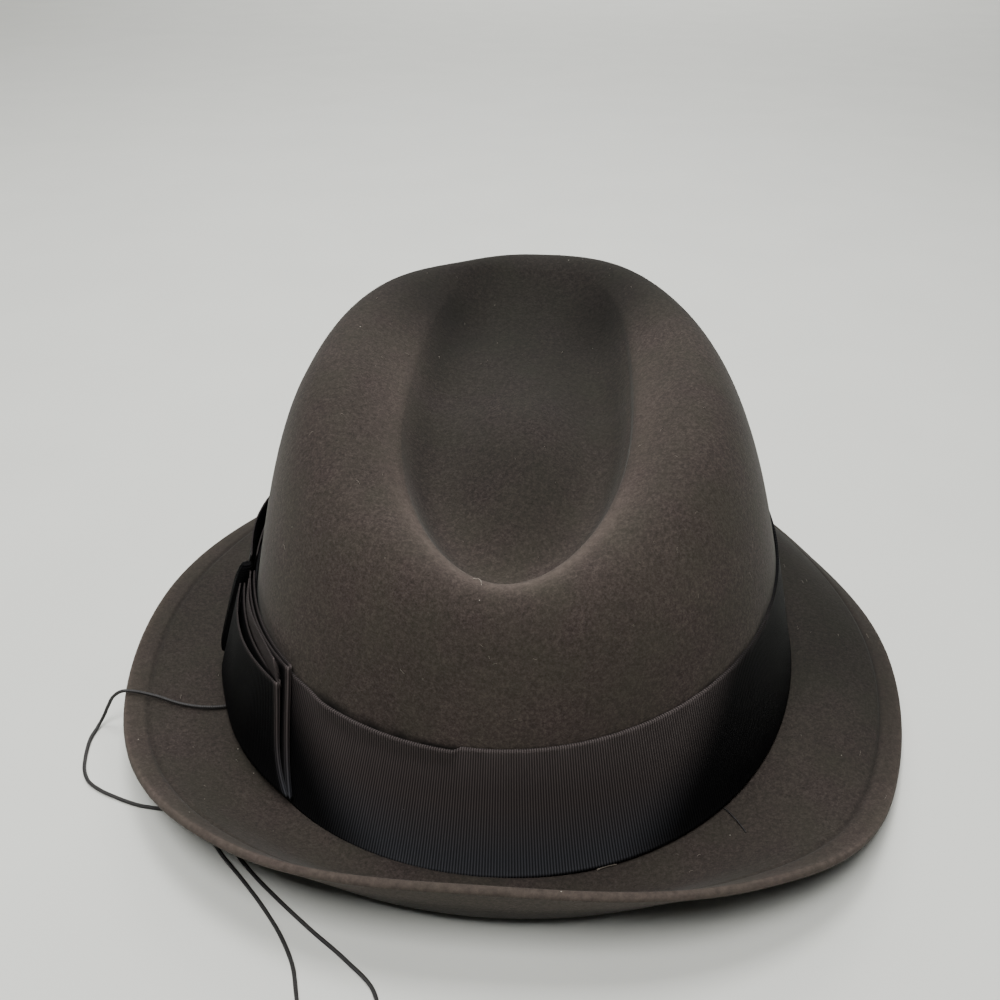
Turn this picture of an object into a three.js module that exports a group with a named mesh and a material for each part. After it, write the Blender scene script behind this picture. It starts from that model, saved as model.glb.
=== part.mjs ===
import * as THREE from 'three';

// A felt fedora with a ribbon, a flat bow and a wind cord. Millimetres, the table is z = 0.
// The front faces -Y and the bow is on the wearer's left, at +X.

// Driving sizes
const headLength = 204; // felt's outside, front to rear, along the ribbon's lower edge
const headWidth = 172; // the same, side to side
const feltThickness = 2.3;
const eggShape = 0.105; // how much wider the foot's oval is at the rear half than at the front half
const cornerTwist = 0.016; // how far the oval is pushed out at the left rear and the right front
const cornerFull = 0.006; // how far both rear corners are pushed out
const settle = 1.3; // how far the felt is bent up where it rests
const brimWidth = 35; // from the crown out, along the felt
const rimRear = 74; // height of the dent's rim over the table, at the rear
const rimSide = 94; // at the sides
const rimFront = 106; // at the front
const baseSide = 11.2; // height of the crown's foot at the sides, on average
const baseFront = 14.3; // at the front
const baseLean = 8; // how much higher the foot is at the wearer's right than at the left
const baseTwist = 0.63; // how much higher it is at the left rear and the right front
const shoulderRise = 15; // how far the fullest part of the shoulder bends up over the rim
const shoulderSides = 0.42; // how much more it bends up at the sides than on average, as a share
const rimLength = 134; // of the dent's rim
const rimWidth = 65;
const rimMiddle = { x: 1.5, y: 5.8 };
const dentDepth = 16; // from the rim to the trough inside it
const lobeDepth = 8; // of the two fingertip hollows at the dent's front
const lobeWidth = 10;
const lobeLength = 18;
const lobeAside = 24; // from the dent's middle line
const lobeAhead = 43; // in front of the hat's middle
const pinchDepth = 5; // of the two finger pinches at the crown's front
const pinchAside = 36; // degrees from the front
const pinchSpread = 15; // degrees
const pinchPlace = { share: 0.4, spread: 0.12 }; // on the wall's curve
const ribbonWidth = 38.5;
const ribbonThickness = 0.9;
const bowFoldGap = 1.3; // between the two legs of a folded loop
const cordDiameter = 1;
const cordKnotDiameter = 3.4; // of the small knot that ends the cord
const knotBand = { width: 7, low: 5, high: 40 }; // the wrap round the bow's middle
// The bow's places, in degrees round the hat from its rear, and how far its foot stands off at the knot.
const bow = { knot: 73.5, rearStart: 70.5, frontStart: 76.5, flare: 4, flareSpread: 9 };
// Each loop's fold in degrees, how much further it reaches at its foot than at its top, its heights over
// the crown's foot and how far its outer leg bulges.
const lowerLoop = { fold: 41.5, slant: 5.5, low: 3.5, high: 41, bulge: 0 };
const upperLoop = { fold: 42.5, slant: 3.5, low: 4, high: 36.5, bulge: 1.2 };
const frontLoop = { fold: 108, slant: 0, low: 3, high: 38.5, bulge: 2 };
const tail = { end: 46, slant: 2, low: 34.5, high: 41.5 };
const clearance = 0.3; // between pieces that touch

const TURN = Math.PI * 2;
const DEG = Math.PI / 180;

// One row per 30 degrees round the hat, from the rear towards the wearer's left.
// up: height of the wall's straight part, as a share of the wall. lean: its lean inwards, in degrees.
// round: how far out the shoulder stays full, as a share of the way from the rim to the wall.
// start, end: the brim's slope at the crown and at its edge, in degrees.
const sections = [
  { up: 0.51, lean: 18.4, round: 0.95, start: 8, end: 70 },
  { up: 0.78, lean: 18.1, round: 0.91, start: 15, end: 47 },
  { up: 0.88, lean: 13.1, round: 0.87, start: 16, end: 13 },
  { up: 1.05, lean: 9.5, round: 0.91, start: 8, end: 8 },
  { up: 1.05, lean: 8.3, round: 0.93, start: 0, end: -16 },
  { up: 0.95, lean: 13.8, round: 0.9, start: -4, end: -30 },
  { up: 0.98, lean: 13.2, round: 0.86, start: -11, end: -33 },
  { up: 1.0, lean: 14.1, round: 0.89, start: -13, end: -39 },
  { up: 0.93, lean: 15.2, round: 0.88, start: -10, end: -42 },
  { up: 0.88, lean: 14.4, round: 0.83, start: -7, end: -18 },
  { up: 0.79, lean: 15.7, round: 0.84, start: 9, end: -10 },
  { up: 0.57, lean: 20.2, round: 0.9, start: 2, end: 45 },
];

// The cord's route, chosen by hand: from under the bow over the brim, round on the table in a loop,
// under the brim and out again in a long bight, to the knot at its end.
const cordRoute = [
  [83.6, 50.6, 5.2],
  [87, 53.2, 6.3],
  [92, 55.4, 7.8],
  [98.6, 56.1, 9.3],
  [105.6, 55.4, 10.9],
  [112.6, 55.2, 12.1],
  [115.8, 55.9, 12.5],
  [118.6, 56.4, 10.6],
  [120.8, 56.7, 7],
  [122.6, 57.7, 3.3],
  [124, 60.2, 0.9],
  [124.3, 64, 0.7],
  [123.5, 68.6, 0.6],
  [122.4, 72.4, 0.6],
  [120.9, 76.2, 0.6],
  [117.9, 80.2, 0.6],
  [113.4, 83, 0.6],
  [107.6, 85.2, 0.6],
  [100.6, 87.2, 0.6],
  [88.7, 88.7, 0.6],
  [81.9, 92, 0.6],
  [76.5, 96.5, 0.6],
  [71.9, 101.4, 0.6],
  [64.4, 108.2, 0.6],
  [56.8, 115.6, 0.6],
  [50.2, 123.1, 0.6],
  [45.4, 130.4, 0.6],
  [42.6, 137.6, 0.6],
  [39.8, 144.6, 0.6],
  [33.6, 148.8, 0.6],
  [26.4, 146.9, 0.6],
  [23.1, 141, 0.6],
  [25.2, 134.6, 0.6],
  [33.1, 127.8, 0.6],
  [43, 120.9, 0.6],
  [53.2, 113.4, 0.6],
  [62.6, 105.9, 0.6],
  [69.8, 98.8, 0.6],
  [74.2, 91.4, 0.7],
  [75.6, 84.4, 1.6],
];

// A smooth value round the hat, through the rows of the table (a periodic Catmull-Rom curve).
function around(key, turn) {
  const count = sections.length;
  const place = (((turn / TURN) % 1) + 1) % 1 * count;
  const row = Math.floor(place);
  const t = place - row;
  const [a, b, c, d] = [-1, 0, 1, 2].map((step) => sections[(row + step + count) % count][key]);
  return b + 0.5 * t * (c - a + t * (2 * a - 5 * b + 4 * c - d + t * (3 * (b - c) + d - a)));
}

// The foot of the crown: an oval a little wider at the rear, low at the rear and high at the front.
function footPoint(turn) {
  const s = Math.sin(turn);
  const c = Math.cos(turn);
  const corner = Math.sin(2 * turn);
  const egg = 1 + eggShape * c * (1 + 0.5 * Math.min(c, 0));
  const swell = 1 + cornerFull * corner ** 2 * (1 + c) + cornerTwist * corner;
  const rise = (baseFront - feltThickness) / 2;
  const arch = baseSide - feltThickness - rise;
  const x = headWidth / 2 * s * egg * swell;
  const y = headLength / 2 * c * swell;
  const lean = baseTwist * corner - baseLean / 2 * s;
  const z = feltThickness - settle + rise * (1 - c) + arch * s * s + lean;
  return new THREE.Vector3(x, y, z);
}

// The way out from the foot, level with the table.
function outward(turn) {
  return new THREE.Vector3(Math.sin(turn) / headWidth, Math.cos(turn) / headLength, 0).normalize();
}

// The dent's rim: an oval that is squarer at the front, low at the rear.
function rimPoint(turn) {
  const s = Math.sin(turn);
  const c = Math.cos(turn);
  const power = 2 / (2.5 - 0.5 * c);
  const x = rimMiddle.x + rimWidth / 2 * Math.sign(s) * Math.abs(s) ** power;
  const y = rimMiddle.y + rimLength / 2 * Math.sign(c) * Math.abs(c) ** power;
  const z = rimSide - (rimFront - rimRear) / 2 * c + ((rimFront + rimRear) / 2 - rimSide) * c * c;
  return new THREE.Vector3(x, y, z);
}

// The crown's wall from its foot (0) to the dent's rim (1), as one cubic curve in each section, pressed
// in at the two pinches.
function wallPoint(turn, share) {
  const foot = footPoint(turn);
  const rim = rimPoint(turn);
  const climb = rim.z - foot.z;
  const out = foot.clone().sub(rim).setZ(0).normalize();
  const straight = around('up', turn) * climb;
  const lean = Math.tan(around('lean', turn) * DEG);
  const second = foot.clone().addScaledVector(out, -straight * lean);
  second.z += straight;
  const third = rim.clone().lerp(second, around('round', turn)).setZ(rim.z);
  third.z += shoulderRise * (1 - shoulderSides * Math.cos(2 * turn));
  const aside = Math.abs((turn / DEG) % 360 - 180) - pinchAside;
  const along = (share - pinchPlace.share) / pinchPlace.spread;
  const pinch = pinchDepth * Math.exp(-((aside / pinchSpread) ** 2) - along ** 2);
  return new THREE.CubicBezierCurve3(foot, second, third, rim).getPoint(share).addScaledVector(out, -pinch);
}

// The dent, from its rim (1) to its middle (0): a trough inside the rim and two hollows at the front.
function dentPoint(turn, reach) {
  const rim = rimPoint(turn);
  const middle = new THREE.Vector3(rimMiddle.x, rimMiddle.y, (rimSide + rimFront) / 2 - 3);
  const point = middle.clone().lerp(rim, reach).setZ(0);
  const floor = middle.z + (rim.z - middle.z) * reach ** 2;
  const inside = 1 - reach ** 8;
  const trough = dentDepth * inside * (1 - 0.5 * (1 - reach ** 2) ** 2);
  const ahead = ((point.y + lobeAhead) / lobeLength) ** 2;
  const hollow = [-1, 1].reduce(
    (sum, side) => sum + Math.exp(-(((point.x - side * lobeAside) / lobeWidth) ** 2) - ahead), 0);
  point.z = floor - trough - lobeDepth * inside * hollow;
  return point;
}

// The brim's upper face: its slope turns from start to end, sooner at the rear than at the front.
function brimPoint(turn, share) {
  const out = outward(turn);
  const steps = 24;
  const start = around('start', turn) * DEG;
  const end = around('end', turn) * DEG;
  const bendEnd = 0.8 - 0.2 * Math.cos(turn);
  const point = footPoint(turn);
  const length = brimWidth * share / steps;
  for (let i = 0; i < steps; i += 1) {
    const bend = THREE.MathUtils.smoothstep((i + 0.5) / steps * share, 0.04, bendEnd);
    const slope = start + (end - start) * bend;
    point.addScaledVector(out, length * Math.cos(slope));
    point.z += length * Math.sin(slope);
  }
  return point;
}

// A closed mesh from a grid of points. Rows are rings. Without closeRows its ends are poles.
function gridMesh(rows, closeRows) {
  const columns = rows[0].length;
  const points = [];
  const faces = [];
  rows.forEach((row) => row.forEach((p) => points.push(p.x, p.y, p.z)));
  const at = (i, j) => (i % rows.length) * columns + (j % columns);
  const last = closeRows ? rows.length : rows.length - 1;
  for (let i = 0; i < last; i += 1) {
    for (let j = 0; j < columns; j += 1) {
      faces.push(at(i, j), at(i + 1, j), at(i + 1, j + 1));
      faces.push(at(i, j), at(i + 1, j + 1), at(i, j + 1));
    }
  }
  if (!closeRows) {
    [0, rows.length - 1].forEach((i, end) => {
      const middle = rows[i].reduce((sum, p) => sum.add(p), new THREE.Vector3()).divideScalar(columns);
      const pole = points.length / 3;
      points.push(middle.x, middle.y, middle.z);
      for (let j = 0; j < columns; j += 1) {
        const edge = [at(i, j), at(i, j + 1)];
        faces.push(pole, ...(end ? edge.reverse() : edge));
      }
    });
  }
  const geometry = new THREE.BufferGeometry();
  geometry.setAttribute('position', new THREE.Float32BufferAttribute(points, 3));
  geometry.setIndex(faces);
  geometry.computeVertexNormals();
  return geometry;
}

function turns(count) {
  return Array.from({ length: count }, (_, j) => j / count * TURN);
}

// The felt: its outside from the dent over the rim and down the wall to the brim's edge, and the
// same face moved inwards by the felt's thickness. Both are bent flat where they meet the table.
function feltGeometry() {
  const columns = turns(72);
  const dentReach = [0.12, 0.3, 0.5, 0.68, 0.82, 0.91, 0.97];
  const wallShares = [1, 0.94, 0.86, 0.76, 0.64, 0.5, 0.36, 0.22, 0.1, 0];
  const brimShares = [0.08, 0.2, 0.35, 0.52, 0.7, 0.84, 0.94, 1];
  const outside = [
    ...dentReach.map((reach) => columns.map((turn) => dentPoint(turn, reach))),
    ...wallShares.map((share) => columns.map((turn) => wallPoint(turn, share))),
    ...brimShares.map((share) => columns.map((turn) => brimPoint(turn, share))),
  ];
  const inward = (i, j) => {
    const ahead = outside[Math.min(i + 1, outside.length - 1)][j];
    const behind = outside[Math.max(i - 1, 0)][j];
    const left = outside[i][(j + columns.length - 1) % columns.length];
    const right = outside[i][(j + 1) % columns.length];
    const along = ahead.clone().sub(behind);
    return along.cross(right.clone().sub(left)).normalize();
  };
  const inside = outside.map((row, i) => row.map((p, j) => (
    p.clone().addScaledVector(inward(i, j), feltThickness))));
  inside.forEach((row, i) => row.forEach((p, j) => {
    const lift = Math.max(-p.z, 0);
    p.z += lift;
    outside[i][j].z += lift;
  }));
  return gridMesh([...inside, ...outside.reverse()], false);
}

// A point on the ribbon's ground: a way up the wall from its foot, and a way off the felt.
function ribbonPoint(turn, up, off) {
  const foot = footPoint(turn);
  const climb = rimPoint(turn).z - foot.z;
  let share = up / climb / 3;
  for (let i = 0; i < 6; i += 1) {
    share *= up / Math.max(wallPoint(turn, share).distanceTo(foot), 0.1);
  }
  return wallPoint(turn, share).addScaledVector(outward(turn), off);
}

// How far the bow's layers stand off near the knot: most at their foot.
function flareAt(turn, up) {
  const aside = (turn / DEG - bow.knot) / bow.flareSpread;
  return bow.flare * Math.exp(-(aside ** 2)) * Math.max(1 - up / ribbonWidth, 0);
}

// A band round the whole crown between two heights and two distances off the felt.
function bandGeometry({ low, high, inner, outer }) {
  const columns = turns(72);
  const ups = [0, 0.33, 0.67, 1].map((share) => low + (high - low) * share);
  const row = (up, off) => columns.map((turn) => ribbonPoint(turn, up, off));
  const rows = [...ups.map((up) => row(up, outer)), ...ups.reverse().map((up) => row(up, inner))];
  return gridMesh(rows, true);
}

// A strip of ribbon on edge: a path of (turn in degrees, distance off the felt) points, given its
// thickness and drawn up from one height to another. slant: how much further it reaches at its foot.
function stripGeometry({ path, slant, low, high }) {
  const flat = path.map(([turn, off]) => new THREE.Vector2(turn * DEG * headLength / 2, off));
  const side = (sign) => flat.map((p, i) => {
    const along = flat[Math.min(i + 1, flat.length - 1)].clone().sub(flat[Math.max(i - 1, 0)]).normalize();
    return new THREE.Vector2(p.x - sign * along.y * ribbonThickness / 2,
      p.y + sign * along.x * ribbonThickness / 2);
  });
  const section = [...side(1), ...side(-1).reverse()];
  const reach = Math.max(...flat.map((p) => Math.abs(p.x - flat[0].x)));
  const steps = 5;
  const rows = Array.from({ length: steps + 1 }, (_, i) => {
    const up = low + (high - low) * i / steps;
    return section.map((p) => {
      const share = Math.abs(p.x - flat[0].x) / reach;
      const turn = p.x / (headLength / 2) + slant * DEG * (i / steps - 0.5) * share;
      return ribbonPoint(turn, up, p.y + flareAt(turn, up));
    });
  });
  const geometry = gridMesh(rows, true);
  const index = Array.from(geometry.getIndex().array);
  const wall = index.slice(0, steps * section.length * 6);
  const half = path.length;
  const top = steps * section.length;
  for (let i = 0; i < half - 1; i += 1) {
    const quad = [i, i + 1, 2 * half - 2 - i, 2 * half - 1 - i];
    wall.push(quad[0], quad[1], quad[2], quad[0], quad[2], quad[3]);
    wall.push(top + quad[0], top + quad[2], top + quad[1], top + quad[0], top + quad[3], top + quad[2]);
  }
  geometry.setIndex(wall);
  return geometry;
}

// The path of a folded loop: out along the hat, round a fold and back, further off the felt.
function loopPath({ from, fold, near, far, bulge }) {
  const sign = Math.sign(fold - from);
  const round = (far - near) / 2;
  const radius = round / (headLength / 2) / DEG;
  const turnOf = (share) => from + (fold - sign * radius - from) * share;
  const legShares = [0, 0.14, 0.28, 0.42, 0.56, 0.7, 0.85, 1];
  const out = legShares.map((share) => [turnOf(share), near]);
  const bend = [30, 60, 90, 120, 150].map((angle) => [
    turnOf(1) + sign * radius * Math.sin(angle * DEG),
    near + round * (1 - Math.cos(angle * DEG)),
  ]);
  const back = legShares.reverse().map((share) => [turnOf(share), far + bulge * (1 - share) * share * 4]);
  return [...out, ...bend, ...back];
}

// The wrap round the bow's middle: a padded block across the ribbon.
function knotGeometry() {
  const section = [30, 60, 90, 120, 150, 210, 240, 270, 300, 330].map((angle) => [
    bow.knot + knotBand.width / 2 / DEG / (headLength / 2) * Math.cos(angle * DEG),
    ribbonOff + clearance + (upperFar - ribbonOff) / 2 * (1 + Math.sin(angle * DEG)),
  ]);
  const rows = [0, 0.25, 0.5, 0.75, 1].map((share) => section.map(([turn, off]) => {
    const up = knotBand.low + (knotBand.high - knotBand.low) * share;
    return ribbonPoint(turn * DEG, up, off + flareAt(turn * DEG, up));
  }));
  return gridMesh(rows.reverse(), false);
}

function cordGeometry() {
  const route = new THREE.CatmullRomCurve3(cordRoute.map(([x, y, z]) => new THREE.Vector3(x, y, z)));
  const shape = new THREE.Shape();
  shape.absarc(0, 0, cordDiameter / 2, 0, TURN);
  return new THREE.ExtrudeGeometry(shape, { steps: 80, curveSegments: 4, extrudePath: route });
}

// The small round knot that ends the cord, just past its end.
function cordKnotGeometry() {
  const [end, before] = cordRoute.slice(-2).reverse().map(([x, y, z]) => new THREE.Vector3(x, y, z));
  const along = end.clone().sub(before).setZ(0).normalize();
  const aside = new THREE.Vector3(along.y, -along.x, 0);
  const radius = cordKnotDiameter / 2;
  const centre = end.clone().addScaledVector(along, radius + clearance);
  centre.z = radius + 0.1;
  const rows = [25, 55, 90, 125, 155].map((angle) => turns(10).map((turn) => (
    centre.clone()
      .addScaledVector(along, -radius * Math.cos(angle * DEG))
      .addScaledVector(aside, radius * Math.sin(angle * DEG) * Math.cos(turn))
      .add(new THREE.Vector3(0, 0, radius * Math.sin(angle * DEG) * Math.sin(turn))))));
  return gridMesh(rows, false);
}

const felt = { color: 0x3f3a38, roughness: 0.95, metalness: 0 };
const grosgrain = { color: 0x17171a, roughness: 0.8, metalness: 0 };
const braid = { color: 0x101012, roughness: 0.6, metalness: 0 };

const hat = new THREE.Group();

function add(name, geometry, finish) {
  const mesh = new THREE.Mesh(geometry, new THREE.MeshStandardMaterial(finish));
  mesh.name = name;
  hat.add(mesh);
}

const ribbonOff = clearance + ribbonThickness;
const lowerNear = ribbonOff + clearance + ribbonThickness / 2;
const lowerFar = lowerNear + bowFoldGap;
const tailOff = lowerFar + ribbonThickness + clearance;
const upperNear = tailOff + ribbonThickness + clearance;
const upperFar = upperNear + bowFoldGap;

add('felt_body', feltGeometry(), felt);
const bandSizes = { low: 1, high: ribbonWidth, inner: clearance, outer: ribbonOff };
add('ribbon_band', bandGeometry(bandSizes), grosgrain);
function addLoop(name, from, loop, near, far) {
  const path = loopPath({ from, fold: loop.fold, near, far, bulge: loop.bulge });
  add(name, stripGeometry({ path, slant: loop.slant, low: loop.low, high: loop.high }), grosgrain);
}

addLoop('bow_loop_lower', bow.rearStart, lowerLoop, lowerNear, lowerFar);
addLoop('bow_loop_upper', bow.rearStart, upperLoop, upperNear, upperFar);
addLoop('bow_loop_front', bow.frontStart, frontLoop, lowerNear, lowerFar);
const tailShares = [0, 0.2, 0.4, 0.6, 0.8, 1];
const tailPath = tailShares.map((share) => [bow.rearStart + (tail.end - bow.rearStart) * share, tailOff]);
add('bow_tail', stripGeometry({
  path: tailPath, slant: tail.slant, low: tail.low, high: tail.high,
}), grosgrain);
add('bow_knot', knotGeometry(), grosgrain);

// The frame's origin is under the middle of the hat, which leaves the loose cord out.
const middle = new THREE.Box3().setFromObject(hat).getCenter(new THREE.Vector3());
hat.position.set(-middle.x, -middle.y, 0);
add('wind_cord', cordGeometry(), braid);
add('cord_knot', cordKnotGeometry(), braid);

export default hat;
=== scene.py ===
import bpy
import numpy as np
from mathutils import Matrix, Vector


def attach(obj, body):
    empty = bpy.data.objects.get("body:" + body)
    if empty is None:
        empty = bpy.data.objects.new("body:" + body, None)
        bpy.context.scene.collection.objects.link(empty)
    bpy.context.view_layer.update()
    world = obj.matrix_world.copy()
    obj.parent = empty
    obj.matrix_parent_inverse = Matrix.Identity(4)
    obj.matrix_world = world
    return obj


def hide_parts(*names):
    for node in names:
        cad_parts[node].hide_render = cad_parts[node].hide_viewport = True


# A felt fedora seen from behind: felt body, grosgrain ribbon with a flat bow, and a loose wind cord.
# Shapes are worked out in millimetres and turned into metres when a mesh is made.
# The front faces -Y, the bow is on the wearer's left at +X, and the table is z = 0.

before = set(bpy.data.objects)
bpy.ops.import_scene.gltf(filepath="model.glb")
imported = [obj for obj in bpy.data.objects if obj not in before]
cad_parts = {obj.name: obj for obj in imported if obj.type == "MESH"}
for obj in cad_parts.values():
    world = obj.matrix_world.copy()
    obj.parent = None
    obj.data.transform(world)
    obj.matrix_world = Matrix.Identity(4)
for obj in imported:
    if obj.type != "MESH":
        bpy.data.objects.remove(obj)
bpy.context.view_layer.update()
metre = 0.001  # one millimetre
degree = np.pi / 180
clothUnit = 100.0  # millimetres of cloth to one unit of uv
hatShift = np.array([-0.5943, 4.8363, 0.0])  # from the hat's own middle to the frame's origin
randomNumbers = np.random.default_rng(7)


# An sRGB hex colour as linear red, green, blue, alpha.
def hexColour(code):
    parts = [int(code[i:i + 2], 16) / 255 for i in (0, 2, 4)]
    return tuple(c / 12.92 if c <= 0.04045 else ((c + 0.055) / 1.055) ** 2.4 for c in parts) + (1.0,)


# 0 below low, 1 above high, and a smooth S between them.
def smoothStep(value, low, high):
    share = np.clip((value - low) / (high - low), 0, 1)
    return share * share * (3 - 2 * share)


# 1 at the middle, falling off on both sides as a Gaussian of this width.
def bell(value, middle, width):
    return np.exp(-((value - middle) / width) ** 2)


# Vectors divided by their length.
def unit(vectors):
    return vectors / np.linalg.norm(vectors, axis=-1, keepdims=True)


# Angles evenly spaced round a full turn.
def ringAngles(count):
    return np.arange(count) / count * 2 * np.pi


# The distance walked along a path, at each of its points.
def walkedAlong(path):
    return np.concatenate([[0], np.cumsum(np.linalg.norm(np.diff(path, axis=0), axis=1))])


# Several runs of evenly spaced values, each given by its first value, its last value and its count.
def spans(runs):
    return np.concatenate([np.linspace(*run) for run in runs])


# Quads of a grid of points, row by row; a closed direction joins its last line to its first.
def gridFaces(rows, columns, closeRows, closeColumns):
    i, j = np.meshgrid(np.arange(rows - (not closeRows)), np.arange(columns - (not closeColumns)),
                       indexing="ij")
    nextI, nextJ = (i + 1) % rows, (j + 1) % columns
    quads = [i * columns + j, nextI * columns + j, nextI * columns + nextJ, i * columns + nextJ]
    return np.stack([q.ravel() for q in quads], 1)


# A mesh object from points in millimetres (n, 3) and faces (m, 3 or 4). uv holds pairs, read by uvFaces where
# they differ from the faces, as at a seam. fields are values per point that the material reads by name.
def makePiece(name, points, faces, material, slotName, uv=None, uvFaces=None, fields=None):
    mesh = bpy.data.meshes.new(name)
    count, corners = faces.shape
    mesh.vertices.add(len(points))
    mesh.vertices.foreach_set("co", (np.asarray(points) * metre).ravel())
    mesh.loops.add(count * corners)
    mesh.loops.foreach_set("vertex_index", faces.ravel().astype(np.int32))
    mesh.polygons.add(count)
    mesh.polygons.foreach_set("loop_start", np.arange(0, count * corners, corners, dtype=np.int32))
    mesh.update(calc_edges=True)
    mesh.polygons.foreach_set("use_smooth", np.ones(count, dtype=bool))
    if uv is not None:
        read = faces if uvFaces is None else uvFaces
        layer = mesh.uv_layers.new(name="clothMap")
        layer.data.foreach_set("uv", np.asarray(uv)[read.ravel()].ravel().astype(np.float32))
    for key, values in (fields or {}).items():
        field = mesh.attributes.new(key, "FLOAT", "POINT")
        field.data.foreach_set("value", np.asarray(values).ravel().astype(np.float32))
    mesh.materials.append(material)
    mesh.validate()
    piece = bpy.data.objects.new(name, mesh)
    bpy.context.scene.collection.objects.link(piece)
    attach(piece, "root")
    return piece


# Rings round a path: each ring is a circle across the path, set out from its level and its upright direction.
def tubePoints(path, radius, sides):
    path = np.asarray(path, float)
    along = unit(np.gradient(path, axis=0))
    aside = np.cross(along, [0.0, 0.0, 1.0])
    weak = np.linalg.norm(aside, axis=1) < 0.05  # where the path stands nearly upright
    aside[weak] = np.cross(along[weak], [1.0, 0.0, 0.0])
    aside = unit(aside)
    above = np.cross(aside, along)
    angle = ringAngles(sides)
    radius = np.broadcast_to(np.asarray(radius, float), (len(path),))
    ring = aside[:, None] * np.cos(angle)[None, :, None] + above[:, None] * np.sin(angle)[None, :, None]
    return path[:, None] + ring * radius[:, None, None]


# A tube's uv: its turn round, folded so that both ends of a ring are alike, and its way along.
def tubeUv(along, sides):
    return np.stack([np.tile(np.abs(np.arange(sides) / sides * 2 - 1), len(along)), np.repeat(along, sides)], 1)


# Quads split into triangles.
def halved(quads):
    return np.vstack([quads[:, [0, 1, 2]], quads[:, [0, 2, 3]]])


# The uv of cloth from its way along and its height, in millimetres.
def clothMap(along, height):
    return np.stack(np.broadcast_arrays(along / clothUnit, height / clothUnit), -1).reshape(-1, 2)


# A closed skin over rings (rows, columns, 3), each end closed by a fan to its middle.
def cappedGrid(rings):
    rows, columns, _ = rings.shape
    points = np.vstack([rings.reshape(-1, 3), rings[0].mean(0)[None], rings[-1].mean(0)[None]])
    j = np.arange(columns)
    nextJ = (j + 1) % columns
    last = (rows - 1) * columns
    first = np.stack([np.full(columns, rows * columns), j, nextJ], 1)
    end = np.stack([np.full(columns, rows * columns + 1), last + nextJ, last + j], 1)
    return points, np.vstack([halved(gridFaces(rows, columns, False, True)), first, end])


# Several skins of points, faces and perhaps uv as one, with the faces counted on.
def joinSkins(skins):
    points, faces, *more = zip(*skins)
    starts = np.cumsum([0] + [len(part) for part in points])
    counted = [part + start for part, start in zip(faces, starts)]
    return [np.vstack(parts) for parts in (points, counted, *more)]


# A Catmull-Rom curve through the points, with steps by the root of their distance, sampled evenly from point
# to point.
def splineThrough(points, count):
    points = np.asarray(points, float)
    padded = np.vstack([2 * points[0] - points[1], points, 2 * points[-1] - points[-2]])
    place = np.linspace(0, len(points) - 1, count)
    i = np.minimum(place.astype(int), len(points) - 2)
    t = (place - i)[:, None]
    a, b, c, d = (padded[i + k] for k in range(4))
    before, here, after = (np.maximum(np.sqrt(np.linalg.norm(q - p, axis=1)), 1e-3)[:, None]
                           for p, q in ((a, b), (b, c), (c, d)))
    startPull = ((b - a) / before - (c - a) / (before + here) + (c - b) / here) * here
    endPull = ((c - b) / here - (d - b) / (here + after) + (d - c) / after) * here
    return (b + startPull * t + (3 * (c - b) - 2 * startPull - endPull) * t ** 2
            + (2 * (b - c) + startPull + endPull) * t ** 3)


# The same path with its points evenly spaced along it, and its length.
def evenPath(path, count):
    steps = walkedAlong(path)
    wanted = np.linspace(0, steps[-1], count)
    return np.stack([np.interp(wanted, steps, path[:, k]) for k in range(3)], 1), steps[-1]


cameraSizes = dict(
    place=(-14.26, 271.79, 221.96),  # mm, from the outlines of the brim, crown and ribbon
    pitch=0.566, yaw=0.080, roll=-0.012,  # radians; the pitch is below level
    lens=36.0, sensor=36.0,  # mm, as long as it is wide: 1000 px of picture at a distance of 1000 px
    near=0.01,  # metres, where its view starts
)


# The camera looks along its pitch and yaw from its place, turned a little by its roll.
def addCamera(sizes):
    pitch, yaw, roll = sizes["pitch"], sizes["yaw"], sizes["roll"]
    forward = np.array([np.sin(yaw) * np.cos(pitch), -np.cos(yaw) * np.cos(pitch), -np.sin(pitch)])
    right = unit(np.cross(forward, [0, 0, 1]))
    down = np.cross(forward, right)
    turnedRight = right * np.cos(roll) + down * np.sin(roll)
    turnedDown = -right * np.sin(roll) + down * np.cos(roll)
    camera = bpy.data.cameras.new("photoCamera")
    camera.lens = sizes["lens"]
    camera.sensor_width = sizes["sensor"]
    camera.sensor_fit = "HORIZONTAL"
    camera.clip_start = sizes["near"]
    holder = bpy.data.objects.new("photoCamera", camera)
    axes = np.stack([turnedRight, -turnedDown, -forward], 1)
    place = Vector(np.array(sizes["place"]) * metre)
    holder.matrix_world = Matrix.Translation(place) @ Matrix(axes.tolist()).to_4x4()
    bpy.context.scene.collection.objects.link(holder)
    bpy.context.scene.camera = holder


addCamera(cameraSizes)
print("camera placed")


# One node with its settings and its links: an input's name or number to a socket or a value.
def addNode(tree, kind, links=None, **settings):
    node = tree.nodes.new(kind)
    for key, value in settings.items():
        setattr(node, key, value)
    for key, value in (links or {}).items():
        if isinstance(value, bpy.types.NodeSocket):
            tree.links.new(value, node.inputs[key])
        else:
            node.inputs[key].default_value = value
    return node


# An empty material and its node tree.
def newMaterial(name):
    material = bpy.data.materials.new(name)
    material.use_nodes = True
    material.node_tree.nodes.clear()
    return material, material.node_tree


# The Principled shader with these inputs, and the material's output.
def addShader(tree, inputs):
    shader = addNode(tree, "ShaderNodeBsdfPrincipled", inputs)
    addNode(tree, "ShaderNodeOutputMaterial", {"Surface": shader.outputs[0]})


# A value's range stretched to another and held inside it.
def stretched(tree, value, fromLow, fromHigh, low=0.0, high=1.0):
    return addNode(tree, "ShaderNodeMapRange", {"Value": value, "From Min": fromLow, "From Max": fromHigh,
                                                "To Min": low, "To Max": high}).outputs[0]


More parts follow.
